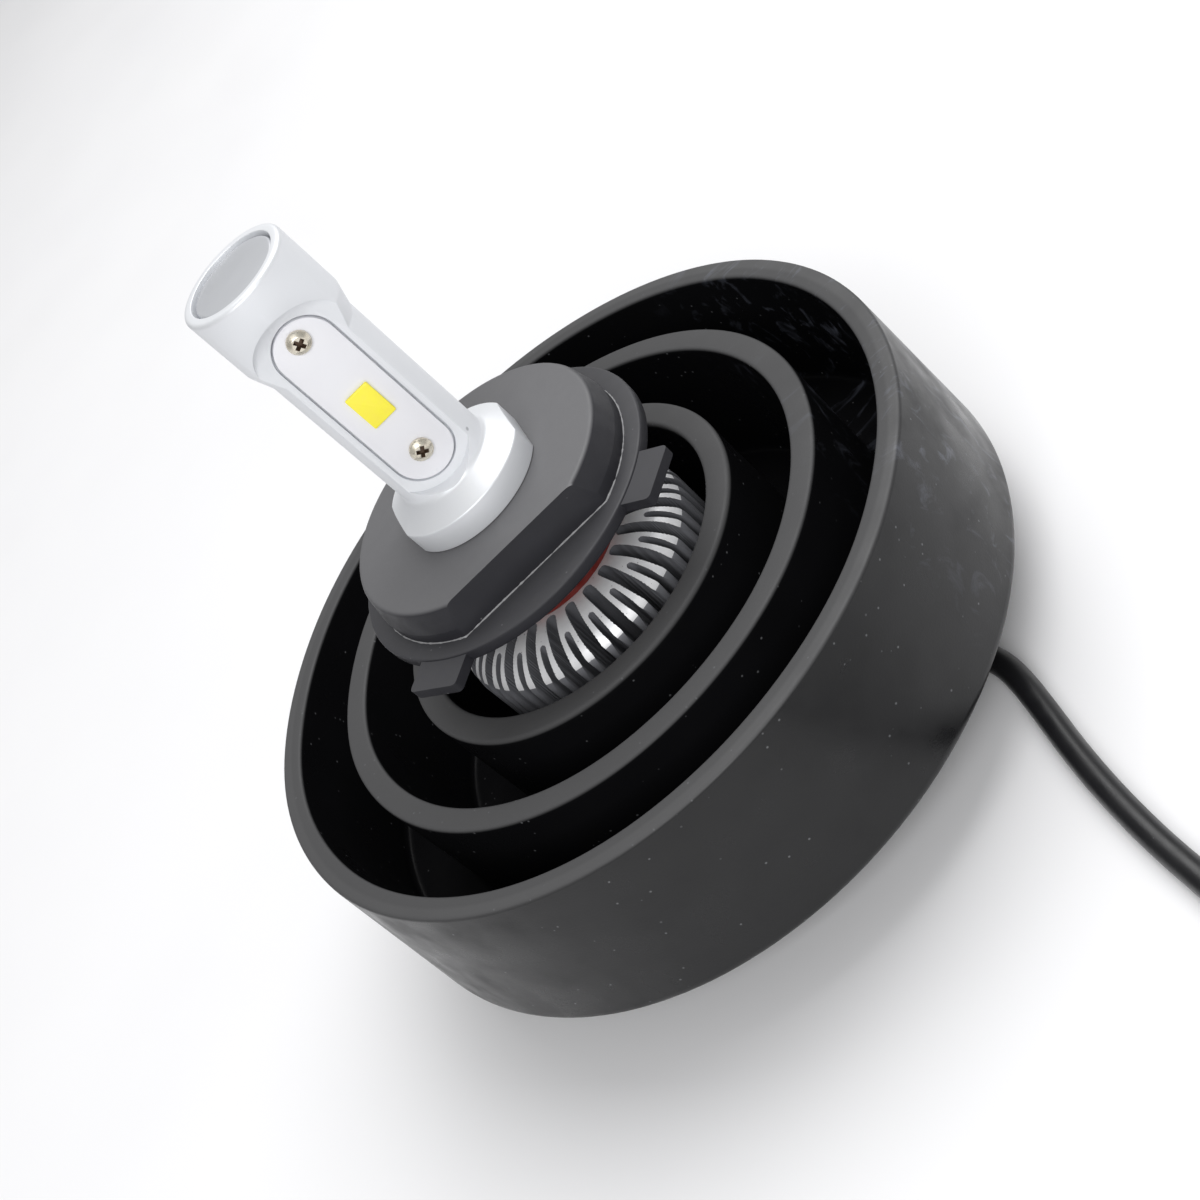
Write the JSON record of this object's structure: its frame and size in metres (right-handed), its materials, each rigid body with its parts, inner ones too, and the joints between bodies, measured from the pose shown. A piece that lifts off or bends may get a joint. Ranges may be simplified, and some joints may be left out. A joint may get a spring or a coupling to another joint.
{
  "type": "headlight bulb",
  "caption": "LED headlight bulb: post with a lit board on each side, black locking adapter, finned heat sink with rear fan, ringed rubber dust cover and a short lead with a plug.",
  "frame": {"origin": "centre of the fan housing's rear face, which the bulb stands on", "axes": "+Z along the bulb's axis from the fan to the lamp tip, -Y out of the front LED board, +X to the right seen from that side"},
  "size_m": [0.1509, 0.2234, 0.1127],
  "materials": {
    "cover_rubber": "moulded matte black rubber",
    "mast_white": "satin silver-white coat",
    "cap_grey": "satin",
    "board_white": "white solder mask",
    "phosphor": "yellow phosphor in silicone",
    "screw_nickel": "nickel plated",
    "adapter_black": "moulded glass-filled nylon",
    "seal_red": "silicone",
    "sink_aluminium": "dark anodised with turned bright front faces",
    "bolt_steel": "black oxide",
    "board_green": "green solder mask",
    "component_dark": "component bodies",
    "housing_black": "moulded nylon",
    "bronze": "sintered bronze",
    "stator_copper": "lacquered windings on laminated steel",
    "rotor_black": "moulded PBT",
    "magnet_dark": "ferrite",
    "shaft_steel": "ground",
    "lead_red": "insulation",
    "cable_black": "satin PVC",
    "blade_brass": "tin-flashed brass"
  },
  "bodies": {
    "bulb": {"lamp_mast": "mast_white", "tip_cap": "cap_grey", "led_board_front": "board_white", "led_board_rear": "board_white", "led_chip_front": "phosphor", "led_chip_rear": "phosphor", "board_screws": "screw_nickel", "base_adapter": "adapter_black", "red_seal": "seal_red", "heat_sink": "sink_aluminium", "mast_bolt": "bolt_steel", "driver_board": "board_green", "driver_parts": "component_dark", "fan_housing": "housing_black", "housing_screws": "screw_nickel", "fan_base": "housing_black", "fan_bearing": "bronze", "fan_stator": "stator_copper", "inner_leads": "lead_red", "cable_boot": "cable_black", "cord_run": "cable_black", "cord_coil": "cable_black", "cord_tail": "cable_black", "plug_shell": "housing_black", "plug_blades": "blade_brass", "plug_seal": "seal_red"},
    "fan": {"fan_rotor": "rotor_black", "fan_magnet": "magnet_dark", "fan_shaft": "shaft_steel"},
    "cover": {"dust_cover": "cover_rubber"}
  },
  "joints": [
    {"name": "fan_spin", "type": "hinge", "parent": "bulb", "child": "fan", "pos_m": [0, 0, 0.006], "axis": [0, 0, 1], "continuous": true},
    {"name": "cover_slide", "type": "slide", "parent": "bulb", "child": "cover", "axis": [0, 0, 1], "range_m": [-0.003, 0.012]}
  ]
}
